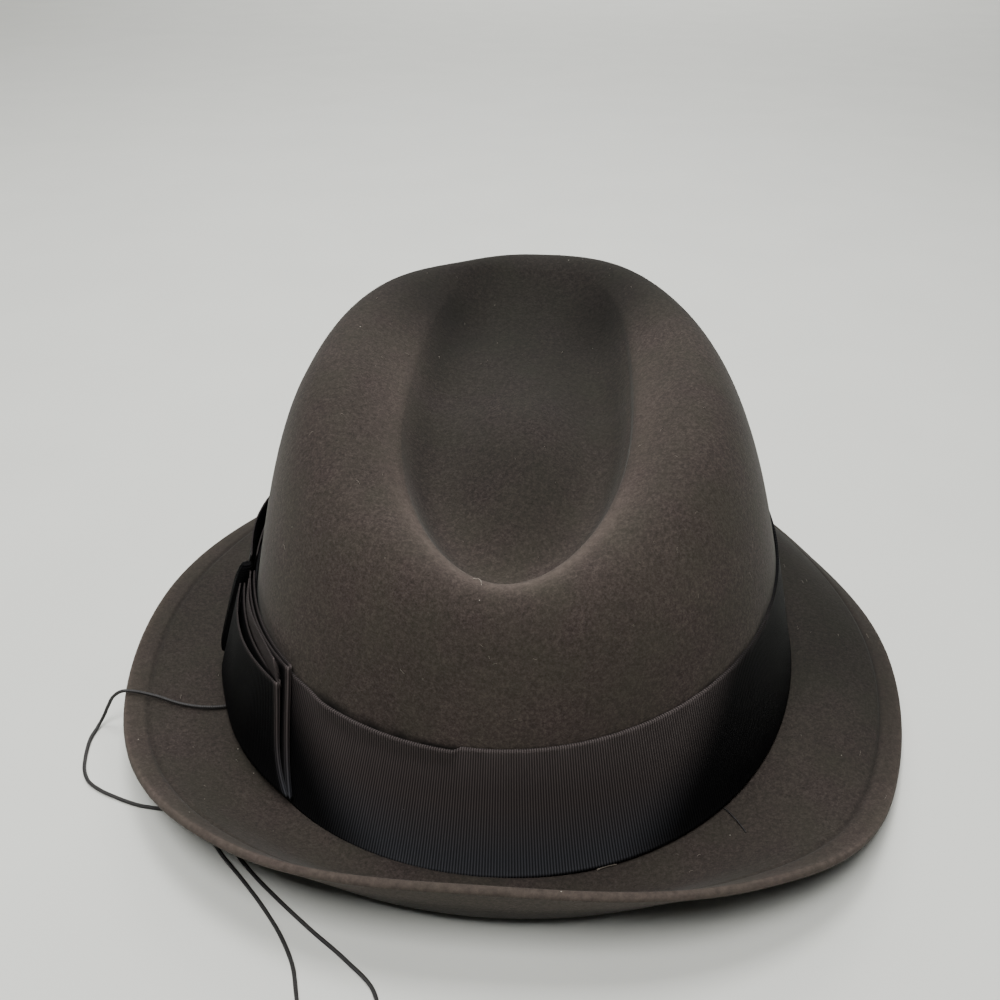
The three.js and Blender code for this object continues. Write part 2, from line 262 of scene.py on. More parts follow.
# Noise on the object's own coordinates, sized in millimetres and spread to run from low to high.
def spreadNoise(tree, size, low, high, detail=2.0, distortion=0.0):
    place = addNode(tree, "ShaderNodeTexCoord").outputs["Object"]
    noise = addNode(tree, "ShaderNodeTexNoise", {"Vector": place, "Scale": 1 / (size * 2 * metre),
                                                 "Detail": detail, "Distortion": distortion})
    return stretched(tree, noise.outputs["Fac"], 0.32, 0.68, low, high)  # nearly all noise lies between these


# A value of the mesh's points, by its name.
def readField(tree, name):
    return addNode(tree, "ShaderNodeAttribute", attribute_name=name).outputs["Fac"]


# The two directions of the cloth's own uv.
def clothUv(tree):
    uv = addNode(tree, "ShaderNodeUVMap", uv_map="clothMap").outputs["UV"]
    return addNode(tree, "ShaderNodeSeparateXYZ", {0: uv}).outputs[:2]


# Bumps of a field's shape and this height in millimetres, over the bumps before them if there are any.
def addBump(tree, field, height, strength, under=None):
    links = {"Height": field, "Distance": height * metre, "Strength": strength}
    if under is not None:
        links["Normal"] = under
    return addNode(tree, "ShaderNodeBump", links).outputs[0]


# One colour over another by a share; a colour is a hex code or a socket.
def mixColours(tree, share, under, over, way="MIX"):
    mix = addNode(tree, "ShaderNodeMix", data_type="RGBA", blend_type=way)
    for number, value in ((0, share), (6, under), (7, over)):  # the inputs for a share and two colours
        if isinstance(value, bpy.types.NodeSocket):
            tree.links.new(value, mix.inputs[number])
        else:
            mix.inputs[number].default_value = hexColour(value) if isinstance(value, str) else value
    return mix.outputs[2]


# A sum, product, sine or comparison of sockets and numbers.
def reckon(tree, way, first, second=0.0):
    return addNode(tree, "ShaderNodeMath", {0: first, 1: second}, operation=way).outputs[0]


# Sparse round specks of lint: 1 inside a speck, 0 outside, one speck or none to a cell.
def lintSpecks(tree, cell, radius, kept):
    place = addNode(tree, "ShaderNodeTexCoord").outputs["Object"]
    cells = addNode(tree, "ShaderNodeTexVoronoi", {"Vector": place, "Scale": 1 / (cell * metre)})
    speck = reckon(tree, "LESS_THAN", cells.outputs["Distance"], radius / cell)
    chosen = reckon(tree, "LESS_THAN", cells.outputs["Color"], kept)
    return reckon(tree, "MULTIPLY", speck, chosen)


feltLook = dict(
    deep="27211f", ground="3d3431", tip="534944",  # the fur's shadows, its middle tone and the lit tips
    deepAt=0.15, groundAt=0.5, tipAt=0.85,  # tones where those colours lie
    olive="393a2e", wearAndHighlight="7d6f66",  # a cooler cast in patches, and the pale of rubs, which also paints a highlight on the dent's rim and the brim's edge
    greyShadeTint="8d948f", creaseShade="110e0d", lint="8f8a80",  # what felt is multiplied by for a cooler grey tint and painted shade, the colour of painted shade in pressed lines, hollows, behind the ribbon and underneath, specks
    cloud=(16.0, 0.44, 0.56, 3.0),  # wide clouds: size in mm, lowest tone, highest tone, detail
    nap=(0.55, -0.14, 0.14, 3.0, 0.4),  # the same, and distortion
    fibre=(0.25, -0.17, 0.17, 2.0, 0.8),  # single fibres
    cast=(7.0, 0.0, 0.34, 4.0),  # share of the cooler cast
    rubAndHighlightPatches=(0.9, 0.55, 1.05, 3.0),  # share of a rub and its painted highlight that shows
    specks=(7.0, 0.17, 0.42),  # mm apart, mm of radius, share of the places that have one
    napBump=0.16, fibreBump=0.09, bumpStrength=0.8,  # mm of height
    roughness=0.95, gleam=0.2, sheen=0.12, sheenRoughness=0.45, sheenTint="a8aaa4",
)


# Pounced fur felt is matted hair with a short nap: matt, faintly cloudy, paler where it is rubbed. Its tone is
# the sum of clouds, nap and fibres; the cast, a cooler grey tint with painted shade, rubs with a painted
# highlight, painted shade and specks are laid over it.
def feltMaterial(look):
    material, tree = newMaterial("pouncedFurFelt")
    cloud, nap, fibre = (spreadNoise(tree, *look[key]) for key in ("cloud", "nap", "fibre"))
    tone = reckon(tree, "ADD", reckon(tree, "ADD", cloud, nap), fibre)
    ramp = addNode(tree, "ShaderNodeValToRGB", {"Fac": tone})
    stops = ramp.color_ramp.elements
    stops[0].position, stops[0].color = look["deepAt"], hexColour(look["deep"])
    stops[1].position, stops[1].color = look["tipAt"], hexColour(look["tip"])
    stops.new(look["groundAt"]).color = hexColour(look["ground"])
    colour = mixColours(tree, spreadNoise(tree, *look["cast"]), ramp.outputs["Color"], look["olive"])
    # a cooler grey tint with painted shade on the top, the dent, the brim and the underside
    colour = mixColours(tree, readField(tree, "greyAndShade"), colour, look["greyShadeTint"], "MULTIPLY")
    # pale rubs: wear, and a painted highlight on the dent's rim and the brim's edge
    paleShare = reckon(tree, "MULTIPLY", readField(tree, "wearAndHighlight"), spreadNoise(tree, *look["rubAndHighlightPatches"]))
    colour = mixColours(tree, paleShare, colour, look["wearAndHighlight"])
    # painted shade: pressed lines, the two hollows, behind the ribbon and under the brim
    colour = mixColours(tree, readField(tree, "pressed"), colour, look["creaseShade"])
    colour = mixColours(tree, lintSpecks(tree, *look["specks"]), colour, look["lint"])
    coarse = addBump(tree, nap, look["napBump"], look["bumpStrength"])
    fine = addBump(tree, fibre, look["fibreBump"], look["bumpStrength"], coarse)
    addShader(tree, {"Base Color": colour, "Normal": fine, "Roughness": look["roughness"],
                     "Specular IOR Level": look["gleam"], "Sheen Weight": look["sheen"],
                     "Sheen Roughness": look["sheenRoughness"], "Sheen Tint": hexColour(look["sheenTint"])})
    return material


grosgrainLook = dict(
    hollow="040405", crown="0e0e0f",  # between the ribs, darker as painted shade, and on them
    paleAndHighlight="655c5a", paleAndHighlightLow="54555a", lint="6a6864",  # the pale colour and painted highlight, warmer high up and cooler low down, and specks
    lowColourTo=6, highColourFrom=22,  # mm up the ribbon
    paleInHollow=0.2,  # how much of the pale colour and painted highlight shows between the ribs
    pitch=0.78, thread=0.26,  # mm from rib to rib, and between the binding threads
    patches=(0.8, 0.55, 1.0, 3.0),  # uneven ribs
    specks=(5.0, 0.1, 0.3),  # as for the felt
    ribBump=0.1, ribStrength=1.0, threadBump=0.03, threadStrength=0.6,  # mm of height
    roughness=0.55, gleam=0.07, anisotropy=0.9, gleamTurn=0.25,
)


# Woven grosgrain has stiff cross ribs under fine rayon threads that run along it, so each rib carries a thin
# gleam. Ribs and threads are sine waves over the cloth's length and height.
def grosgrainMaterial(look):
    material, tree = newMaterial("wovenGrosgrain")
    along, height = clothUv(tree)
    wave = lambda way, size: reckon(tree, "SINE", reckon(tree, "MULTIPLY", way, clothUnit / size * 2 * np.pi))
    rib = stretched(tree, wave(along, look["pitch"]), -1.0, 1.0)
    thread = wave(height, look["thread"])
    share = reckon(tree, "MULTIPLY", rib, spreadNoise(tree, *look["patches"]))
    # the dark between the ribs is painted shade
    colour = mixColours(tree, share, look["hollow"], look["crown"])
    # a painted highlight at the rear of the band, with paler folds, edges and selvedges; warmer high up, cooler
    # low down
    high = stretched(tree, height, look["lowColourTo"] / clothUnit, look["highColourFrom"] / clothUnit)
    onRib = reckon(tree, "MULTIPLY", rib, 1 - look["paleInHollow"])
    highlightShare = reckon(tree, "MULTIPLY", readField(tree, "paleAndHighlight"), reckon(tree, "ADD", onRib, look["paleInHollow"]))
    colour = mixColours(tree, highlightShare, colour, mixColours(tree, high, look["paleAndHighlightLow"], look["paleAndHighlight"]))
    colour = mixColours(tree, lintSpecks(tree, *look["specks"]), colour, look["lint"])
    ribs = addBump(tree, rib, look["ribBump"], look["ribStrength"])
    threads = addBump(tree, thread, look["threadBump"], look["threadStrength"], ribs)
    tangent = addNode(tree, "ShaderNodeTangent", direction_type="UV_MAP", uv_map="clothMap").outputs[0]
    addShader(tree, {"Base Color": colour, "Normal": threads, "Tangent": tangent,
                     "Roughness": look["roughness"], "Specular IOR Level": look["gleam"],
                     "Anisotropic": look["anisotropy"], "Anisotropic Rotation": look["gleamTurn"]})
    return material


braidLook = dict(strand="2c2927", gap="0b0a0a", lay=1.3, strandsRound=2, height=0.1, roughness=0.6)  # mm


# Braided rayon cord: the product of two crossing sine waves, so small dull diamonds run along it.
def braidMaterial(look):
    material, tree = newMaterial("braidedRayonCord")
    turn, length = clothUv(tree)
    along = reckon(tree, "MULTIPLY", length, clothUnit / look["lay"] * 2 * np.pi)
    turned = reckon(tree, "MULTIPLY", turn, look["strandsRound"] * 2 * np.pi)
    crossings = [reckon(tree, "SINE", reckon(tree, way, along, turned)) for way in ("ADD", "SUBTRACT")]
    raised = stretched(tree, reckon(tree, "MULTIPLY", *crossings), -1.0, 1.0)
    addShader(tree, {"Base Color": mixColours(tree, raised, look["gap"], look["strand"]),
                     "Normal": addBump(tree, raised, look["height"], 1.0), "Roughness": look["roughness"]})
    return material


# Loose thread or lint: thin matt fibre, a little uneven in its colour.
def threadMaterial(name, dark, light, roughness):
    material, tree = newMaterial(name)
    uneven = spreadNoise(tree, 0.2, 0.0, 1.0)  # 0.2 mm patches
    addShader(tree, {"Base Color": mixColours(tree, uneven, dark, light), "Roughness": roughness})
    return material


felt = feltMaterial(feltLook)
grosgrain = grosgrainMaterial(grosgrainLook)
braid = braidMaterial(braidLook)
darkThread = threadMaterial("blackSewingThread", "0c0c0d", "1c1b1b", 0.6)
paleThread = threadMaterial("paleCottonThread", "6f675e", "a1988b", 0.85)
print("materials made")


cordSizes = dict(
    diameter=1.0, sides=12, samples=1200, rings=560,
    knotDiameter=3.4, knotStrand=0.8, knotTurns=3.2, knotTilt=(9, 171),  # share of the cord, turns, degrees
    knotGap=0.1, knotLength=20, knotRings=130, knotSides=10,  # mm off the table and the cord, mm of cord in it
    route=[  # mm from the hat's own middle, the same points as the part's source
        (83.6, 50.6, 5.2), (87, 53.2, 6.3), (92, 55.4, 7.8), (98.6, 56.1, 9.3), (105.6, 55.4, 10.9),
        (112.6, 55.2, 12.1), (115.8, 55.9, 12.5), (118.6, 56.4, 10.6), (120.8, 56.7, 7),
        (122.6, 57.7, 3.3), (124, 60.2, 0.9), (124.3, 64, 0.7), (123.5, 68.6, 0.6), (122.4, 72.4, 0.6),
        (120.9, 76.2, 0.6), (117.9, 80.2, 0.6), (113.4, 83, 0.6), (107.6, 85.2, 0.6), (100.6, 87.2, 0.6),
        (88.7, 88.7, 0.6), (81.9, 92, 0.6), (76.5, 96.5, 0.6), (71.9, 101.4, 0.6), (64.4, 108.2, 0.6),
        (56.8, 115.6, 0.6), (50.2, 123.1, 0.6), (45.4, 130.4, 0.6), (42.6, 137.6, 0.6), (39.8, 144.6, 0.6),
        (33.6, 148.8, 0.6), (26.4, 146.9, 0.6), (23.1, 141, 0.6), (25.2, 134.6, 0.6), (33.1, 127.8, 0.6),
        (43, 120.9, 0.6), (53.2, 113.4, 0.6), (62.6, 105.9, 0.6), (69.8, 98.8, 0.6), (74.2, 91.4, 0.7),
        (75.6, 84.4, 1.6),
    ],
)


# The cord's knot: the same cord wound round a ball from one pole to the other, just beyond the cord's end.
def addCordKnot(sizes, route):
    ahead = route[-1] - route[-2]
    ahead[2] = 0
    ahead = unit(ahead)
    ball, strand = sizes["knotDiameter"] / 2, sizes["diameter"] / 2 * sizes["knotStrand"]
    centre = route[-1] + ahead * (ball + sizes["knotGap"])
    centre[2] = ball + sizes["knotGap"]
    t = np.linspace(0, 1, sizes["knotRings"])
    first, last = sizes["knotTilt"]
    tilt = (first + (last - first) * t) * degree
    spin = t * 2 * np.pi * sizes["knotTurns"]
    core = ball - strand
    aside, up = np.array([ahead[1], -ahead[0], 0]), np.array([0.0, 0.0, 1.0])
    wound = (centre - np.outer(np.cos(tilt), ahead) * core + np.outer(np.sin(tilt) * np.cos(spin), aside) * core
             + np.outer(np.sin(tilt) * np.sin(spin), up) * core)
    points, faces = cappedGrid(tubePoints(wound, strand, sizes["knotSides"]))
    uv = np.vstack([tubeUv(t * (sizes["knotLength"] / clothUnit), sizes["knotSides"]), np.zeros((2, 2))])
    knot = makePiece("cordKnot", points, faces, braid, "cord", uv)
    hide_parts("cord_knot")
    return knot


# The cord: a tube along the route, with its knot at the far end.
def addCord(sizes):
    route = np.array(sizes["route"]) + hatShift
    path, length = evenPath(splineThrough(route, sizes["samples"]), sizes["rings"])
    points, faces = cappedGrid(tubePoints(path, sizes["diameter"] / 2, sizes["sides"]))
    uv = tubeUv(np.linspace(0, length / clothUnit, len(path)), sizes["sides"])
    uv = np.vstack([uv, [[0, 0], [0, length / clothUnit]]])
    cord = makePiece("windCord", points, faces, braid, "cord", uv)
    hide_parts("wind_cord")
    knot = addCordKnot(sizes, route)
    return length


cordLength = addCord(cordSizes)
print("wind cord made,", round(cordLength), "mm long")

feltSizes = dict(
    headLength=204, headWidth=172, thickness=2.3, settle=1.3,  # outside the felt; its foot sinks at the rear
    eggShape=0.105, cornerTwist=0.016, cornerFull=0.006,  # shares of the foot's oval
    baseSide=11.2, baseFront=14.3, baseLean=8, baseTwist=0.63,  # heights of the foot and how it leans and waves
    rimRear=74, rimSide=94, rimFront=106, rimLength=134, rimWidth=65, rimX=1.5, rimY=5.8,  # the dent's rim
    rimPower=2.5, rimPowerRear=0.5,  # 2 is an oval and more is squarer
    shoulderRise=15, shoulderSides=0.42,
    pinchDepth=5, pinchAside=36, pinchSpread=15, pinchShare=0.4, pinchHeight=0.12,
    dentDepth=16, dentSag=3, dentHump=0.5,  # its middle lies lower than its rim and less deep than its trough
    slope=3.2, slopeBias=0.3, slopeRear=1.5, slopeRight=0.35,  # how sharply the trough starts, in doublings
    lobeDepth=8, lobeWidth=10, lobeLength=18, lobeAside=24, lobeAhead=43,
    brimWidth=35, bendStart=0.04, bendEnd=0.8, bendEndRear=0.2,  # shares of the brim in which its slope turns
    weltIn=7.0, weltDepth=0.6, weltWidth=0.75,  # a line pressed into the brim by its turned edge
    grooveIn=2.6, grooveDepth=0.35, grooveWidth=1.2,  # the crease just inside the dent's rim, rear and right
    edgeBulge=0.9, edgeSteps=(30, 60, 90, 120, 150),  # the brim's rounded edge: mm, and degrees round it
    behindRibbon=(37.0, 38.6),  # mm up the wall: painted shade below, seen in the gap under the ribbon's top, and clear above
    underShade=0.6, underShadeTo=(9.0, 18.0),  # share of painted shade on the underside near the table, and mm of height: dark below and clear above
    columns=400,
    dentRows=[(0.004, 0.004, 1), (0.03, 0.8, 22), (0.82, 0.995, 22)],  # from its middle to its rim
    wallRows=[(1, 0.46, 34), (0.45, 0.28, 30), (0.26, 0, 14)],  # from the rim to the foot
    brimRows=[(0.02, 0.74, 22), (0.76, 0.84, 9), (0.86, 0.985, 8)],  # from the foot to the edge
)
sectionKeys = ("up", "lean", "round", "start", "end")
sections = np.array([  # one row per 30 degrees from the rear towards the wearer's left, as in the part's source
    (0.51, 18.4, 0.95, 8, 70), (0.78, 18.1, 0.91, 15, 47), (0.88, 13.1, 0.87, 16, 13),
    (1.05, 9.5, 0.91, 8, 8), (1.05, 8.3, 0.93, 0, -16), (0.95, 13.8, 0.90, -4, -30),
    (0.98, 13.2, 0.86, -11, -33), (1.0, 14.1, 0.89, -13, -39), (0.93, 15.2, 0.88, -10, -42),
    (0.88, 14.4, 0.83, -7, -18), (0.79, 15.7, 0.84, 9, -10), (0.57, 20.2, 0.90, 2, 45),
])
fs = feltSizes  # short, for the formulas below


# A value round the hat: a periodic Catmull-Rom curve through one column of the sections.
def around(key, turn):
    column = sections[:, sectionKeys.index(key)]
    place = (np.asarray(turn) / (2 * np.pi)) % 1 * len(column)
    row = np.floor(place).astype(int)
    t = place - row
    a, b, c, d = (column[(row + k) % len(column)] for k in (-1, 0, 1, 2))
    return b + 0.5 * t * (c - a + t * (2 * a - 5 * b + 4 * c - d + t * (3 * (b - c) + d - a)))


# The crown's foot: an oval, wider behind, with its corners pushed out, and a height that waves round it.
def footPoint(turn):
    s, c, corner = np.sin(turn), np.cos(turn), np.sin(2 * turn)
    egg = 1 + fs["eggShape"] * c * (1 + 0.5 * np.minimum(c, 0))
    swell = 1 + fs["cornerFull"] * corner ** 2 * (1 + c) + fs["cornerTwist"] * corner
    rise = (fs["baseFront"] - fs["thickness"]) / 2
    arch = fs["baseSide"] - fs["thickness"] - rise
    z = (fs["thickness"] - fs["settle"] + rise * (1 - c) + arch * s * s
         + fs["baseTwist"] * corner - fs["baseLean"] / 2 * s)
    return np.stack([fs["headWidth"] / 2 * s * egg * swell, fs["headLength"] / 2 * c * swell, z], -1)


# The level direction away from the head.
def outward(turn):
    return unit(np.stack([np.sin(turn) / fs["headWidth"], np.cos(turn) / fs["headLength"], turn * 0], -1))


# The dent's rim: a superellipse, squarer in front, whose height runs from low behind to high in front.
def rimPoint(turn):
    s, c = np.sin(turn), np.cos(turn)
    power = 2 / (fs["rimPower"] - fs["rimPowerRear"] * c)
    x = fs["rimX"] + fs["rimWidth"] / 2 * np.sign(s) * np.abs(s) ** power
    y = fs["rimY"] + fs["rimLength"] / 2 * np.sign(c) * np.abs(c) ** power
    z = (fs["rimSide"] - (fs["rimFront"] - fs["rimRear"]) / 2 * c
         + ((fs["rimFront"] + fs["rimRear"]) / 2 - fs["rimSide"]) * c * c)
    return np.stack([x, y, z], -1)


# The crown's wall: in each section one cubic Bezier curve from the foot, leaning in, over the shoulder to the
# rim, pressed in by a soft Gaussian hollow on each side of the front.
def wallPoint(turn, share):
    turn, share = np.broadcast_arrays(np.asarray(turn, float), np.asarray(share, float))
    foot, rim = footPoint(turn), rimPoint(turn)
    climb = (rim - foot)[..., 2:]
    out = unit((foot - rim) * [1, 1, 0])
    straight = around("up", turn)[..., None] * climb
    lean = np.tan(around("lean", turn) * degree)[..., None]
    second = foot - out * straight * lean + straight * [0, 0, 1]
    third = rim + (second - rim) * around("round", turn)[..., None]
    third[..., 2] = rim[..., 2] + fs["shoulderRise"] * (1 - fs["shoulderSides"] * np.cos(2 * turn))
    t = share[..., None]
    point = foot * (1 - t) ** 3 + 3 * second * t * (1 - t) ** 2 + 3 * third * t * t * (1 - t) + rim * t ** 3
    fromFront = np.abs((turn / degree) % 360 - 180)
    pinch = (fs["pinchDepth"] * bell(fromFront, fs["pinchAside"], fs["pinchSpread"])
             * bell(share, fs["pinchShare"], fs["pinchHeight"]))
    return point - out * pinch[..., None]


# The dent: straight lines from the rim to its middle, sunk by a trough inside the rim and two hollows in front.
# The trough starts sharply at the rear and the wearer's right and softly at the left and in front.
def dentPoint(turn, reach):
    turn, reach = np.broadcast_arrays(np.asarray(turn, float), np.asarray(reach, float))
    rim = rimPoint(turn)
    middle = np.array([fs["rimX"], fs["rimY"], (fs["rimSide"] + fs["rimFront"]) / 2 - fs["dentSag"]])
    point = middle + (rim - middle) * reach[..., None]
    floor = middle[2] + (rim[..., 2] - middle[2]) * reach ** 2
    doublings = fs["slopeBias"] + fs["slopeRear"] * np.cos(turn) - fs["slopeRight"] * np.sin(turn)
    sharp = fs["slope"] * 2 ** doublings
    inside = 1 - reach ** sharp
    trough = fs["dentDepth"] * inside * (1 - fs["dentHump"] * (1 - reach ** 2) ** 2)
    ahead = ((point[..., 1] + fs["lobeAhead"]) / fs["lobeLength"]) ** 2
    hollow = sum(np.exp(-((point[..., 0] - side * fs["lobeAside"]) / fs["lobeWidth"]) ** 2 - ahead)
                 for side in (-1, 1))
    point[..., 2] = floor - trough - fs["lobeDepth"] * inside * hollow
    return point


# The brim's upper face: out from the foot by its width, with a slope that turns from start to end on the way.
def brimPoint(turn, share, steps=60):
    turn, share = np.broadcast_arrays(np.asarray(turn, float), np.asarray(share, float))
    out = outward(turn)
    start, end = around("start", turn) * degree, around("end", turn) * degree
    bendEnd = fs["bendEnd"] - fs["bendEndRear"] * np.cos(turn)
    point = footPoint(turn)
    length = fs["brimWidth"] * share / steps
    for i in range(steps):
        slope = start + (end - start) * smoothStep((i + 0.5) / steps * share, fs["bendStart"], bendEnd)
        point = point + out * (length * np.cos(slope))[..., None]
        point[..., 2] += length * np.sin(slope)
    return point


feltWearAndShade = dict(  # shares of a colour for wear, painted highlight and painted shade; places, widths, heights and where a change starts and ends in mm
    rubAndHighlightRear=0.24, rubAndHighlightSides=0.1, rubAndHighlightPlace=1.5, rubAndHighlightWidths=(2.4, 3.0), rubAndHighlightWider=1.6,  # pale on the dent's rim: wear and a painted highlight
    edge=0.1, edgeWidth=2.2, turned=0.05, turnedTo=(5.5, 8.0),  # pale on the brim's edge and its turned edge: wear and a painted highlight
    intoDent=(-4, 9), dent=0.72, dentUp=(56, 84), top=0.34, topUp=(66, 92),  # a cooler grey tint and painted shade in the dent and on top
    front=0.88, frontUp=(30, 70), frontFrom=25, frontTo=62, frontToDent=12,  # a cooler grey tint and painted shade towards the front
    brim=0.55, brimFront=0.42, brimOn=(-85, -5), brimLeft=0.15,  # a cooler grey tint and painted shade on the brim, more towards the front
    welt=0.3, groove=0.2, lobes=0.36, lobesUp=(72, 86),  # painted shade in the pressed lines and the two hollows
    lobeBells=[(1.25, 33, 13, -36, 17), (0.8, -24, 12, -41, 15)],  # share, x, its width, y, its width
)


# How the felt's colour changes over it: paler as a Gaussian across the dent's rim and the brim's edge, from
# wear and a painted highlight; a cooler grey tint with painted shade by smooth steps in height and towards the
# front; and painted shade in the pressed lines, the two hollows and behind the ribbon. fromRim and fromEdge are
# distances over the felt.
def feltFields(wearAndShade, turn, point, fromRim, fromEdge, behindRibbon, onBrim, welt, groove):
    s, c = np.sin(turn)[None], np.cos(turn)[None]
    x, y, z = (point[..., k] for k in range(3))
    sides = np.abs(s) * smoothStep(c, -0.6, 0.2)
    # pale rubs on the dent's rim and the brim's edge: wear and a painted highlight
    strength = wearAndShade["rubAndHighlightRear"] * smoothStep(c, 0.35, 0.95) + wearAndShade["rubAndHighlightSides"] * sides
    width = np.where(fromRim < 0, *wearAndShade["rubAndHighlightWidths"]) * (1 + wearAndShade["rubAndHighlightWider"] * (1 - smoothStep(c, 0.3, 0.9)))
    onEdge = (wearAndShade["edge"] * bell(fromEdge, 0, wearAndShade["edgeWidth"])
              + wearAndShade["turned"] * (1 - smoothStep(fromEdge, *wearAndShade["turnedTo"])))
    wearAndHighlight = strength * bell(fromRim, wearAndShade["rubAndHighlightPlace"], width) + onEdge
    inDent = smoothStep(-fromRim, *wearAndShade["intoDent"])
    # a cooler grey tint with painted shade: in the dent, on top, towards the front and over the brim
    high = (wearAndShade["dent"] * smoothStep(z, *wearAndShade["dentUp"]) * inDent
            + wearAndShade["top"] * smoothStep(z, *wearAndShade["topUp"]) * (1 - inDent))
    ahead = (wearAndShade["front"] * smoothStep(z, *wearAndShade["frontUp"])
             * smoothStep(-y, -wearAndShade["frontFrom"] * inDent, wearAndShade["frontTo"] - wearAndShade["frontToDent"] * inDent))
    overBrim = ((wearAndShade["brim"] + wearAndShade["brimFront"] * smoothStep(-y, *wearAndShade["brimOn"]))
                * (1 - wearAndShade["brimLeft"] * smoothStep(s, 0, 1)))
    greyAndShade = np.where(onBrim, overBrim, 1 - (1 - high) * (1 - ahead))
    # painted shade in the two hollows, the pressed lines and behind the ribbon
    lobes = sum(share * bell(x, atX, wideX) * bell(y, atY, wideY)
                for share, atX, wideX, atY, wideY in wearAndShade["lobeBells"])
    inLobes = wearAndShade["lobes"] * lobes * smoothStep(z, *wearAndShade["lobesUp"])
    pressed = np.clip(wearAndShade["welt"] * welt + wearAndShade["groove"] * groove + inLobes + behindRibbon, 0, 1)
    return dict(wearAndHighlight=wearAndHighlight, greyAndShade=greyAndShade, pressed=pressed)


# One closed skin: dent, wall, brim, rounded edge, then the same face moved inwards by the felt's thickness.
def addFelt(sizes):
    turn = ringAngles(sizes["columns"])
    reach, wall, brim = (spans(sizes[key]) for key in ("dentRows", "wallRows", "brimRows"))
    outside = np.concatenate([surface(turn[None], rows[:, None]) for surface, rows in (
        (dentPoint, reach), (wallPoint, wall), (brimPoint, brim))])
    walked = np.cumsum(np.linalg.norm(np.diff(outside, axis=0, prepend=outside[:1]), axis=-1), axis=0)
    fromRim = walked - walked[len(reach)]
    fromEdge = walked[-1] - walked + 1  # the rounded edge adds about 1 mm
    fromFoot = walked[len(reach) + len(wall) - 1] - walked
    # painted shade on the felt behind the ribbon, which shows in the gap under its top
    behindRibbon = (1 - smoothStep(fromFoot, *sizes["behindRibbon"])) * (fromFoot > -0.5)
    faint = 0.15 + 0.85 * smoothStep(np.abs(np.sin(turn)), 0.3, 0.8)  # the line fades at the rear and in front
    onBrim = np.arange(len(outside)) >= len(reach) + len(wall)
    welt = bell(fromEdge, sizes["weltIn"], sizes["weltWidth"]) * faint[None] * onBrim[:, None]
    creaseShade = smoothStep(0.5 * np.cos(turn) - 0.6 * np.sin(turn), 0.1, 0.6)  # at the rear and the right
    groove = bell(fromRim, -sizes["grooveIn"], sizes["grooveWidth"]) * creaseShade[None]
    across = np.gradient(outside, axis=0)
    roundWay = (np.roll(outside, -1, 1) - np.roll(outside, 1, 1)) / 2
    inward = unit(np.cross(across, roundWay))
    inside = outside + inward * sizes["thickness"]
    outside = outside + inward * (welt * sizes["weltDepth"] + groove * sizes["grooveDepth"])[..., None]
    lift = np.maximum(-inside[..., 2], 0)  # nothing lies below the table
    for face in (inside, outside):
        face[..., 2] += lift
    edgeTop, edgeLow = outside[-1], inside[-1]
    beyond = unit(brimPoint(turn, 1.0) - brimPoint(turn, brim[-1]))
    angle = np.array(sizes["edgeSteps"]) * degree
    middle, half = (edgeTop + edgeLow) / 2, (edgeTop - edgeLow) / 2
    edge = (middle[None] + half[None] * np.cos(angle)[:, None, None]
            + beyond[None] * (np.sin(angle) * sizes["edgeBulge"])[:, None, None])
    edge[..., 2] = np.maximum(edge[..., 2], 0)
    keep = np.concatenate([np.arange(0, len(outside) - 1, 2), [len(outside) - 1]])[::-1]
    fields = feltFields(feltWearAndShade, turn, outside, fromRim, fromEdge, behindRibbon, onBrim[:, None], welt, groove)
    # painted shade on the underside near the table, in both the grey tint and the painted shade
    underShade = sizes["underShade"] * (1 - smoothStep(inside[keep][..., 2], *sizes["underShadeTo"]))
    for key, values in fields.items():
        rim = np.repeat(values[-1:] * (key != "pressed") + 0.1 * (key == "wearAndHighlight"), len(edge), 0)
        under = underShade * (key != "wearAndHighlight")
        fields[key] = np.concatenate([values.ravel(), rim.ravel(), under.ravel(), [values[0].mean(), 0]])
    points, faces = cappedGrid(np.concatenate([outside, edge, inside[keep]]) + hatShift)
    piece = makePiece("feltBody", points, faces, felt, "felt", fields=fields)
    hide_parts("felt_body")


addFelt(feltSizes)
print("felt body made")

lintSizes = dict(
    onWall=60, onBrim=36, onDent=16, length=(0.6, 2.4), radius=0.028, bend=1.2,  # mm, and radians of bend
    rise=0.25, riseLong=0.5, riseLoose=0.6,  # mm that the middle of a fibre stands off the felt
    mmRound=85, mmUp=90,  # mm to one radian of turn, and to the whole of the wall or brim, on average
    curled=[(6.6, 0.925), (7.6, 0.96), (9.2, 0.975), (10.2, 0.955), (11.0, 0.985)],  # degrees, share
    curledRadius=0.08,
    loose=[(-40.7, 0.0), (-40.3, 0.09), (-39.8, 0.19), (-39.2, 0.29)],  # a dark thread on the brim
    looseRadius=0.16,
    stitch=[(-16.2, 0.012), (-17.8, 0.012), (-19.5, 0.010)], stitchRadius=0.24,  # at the ribbon
)


# A fibre over the felt: a bent line in the surface's own turn and share, lifted off it in a low arc.
def fibreOn(surface, turns, shares, lift, radius, sides=4):
    line = surface(turns, shares)
    line[..., 2] += lift * np.sin(np.linspace(0, np.pi, len(line))) + radius * 0.6
    return cappedGrid(tubePoints(line + hatShift, radius, sides))


# A fibre along a curve through (degrees, share) points.
def fibreThrough(surface, line, count, lift, radius, sides):
    path = splineThrough([(turn, share, 0) for turn, share in line], count)
    return fibreOn(surface, path[:, 0] * degree, path[:, 1], lift, radius, sides)


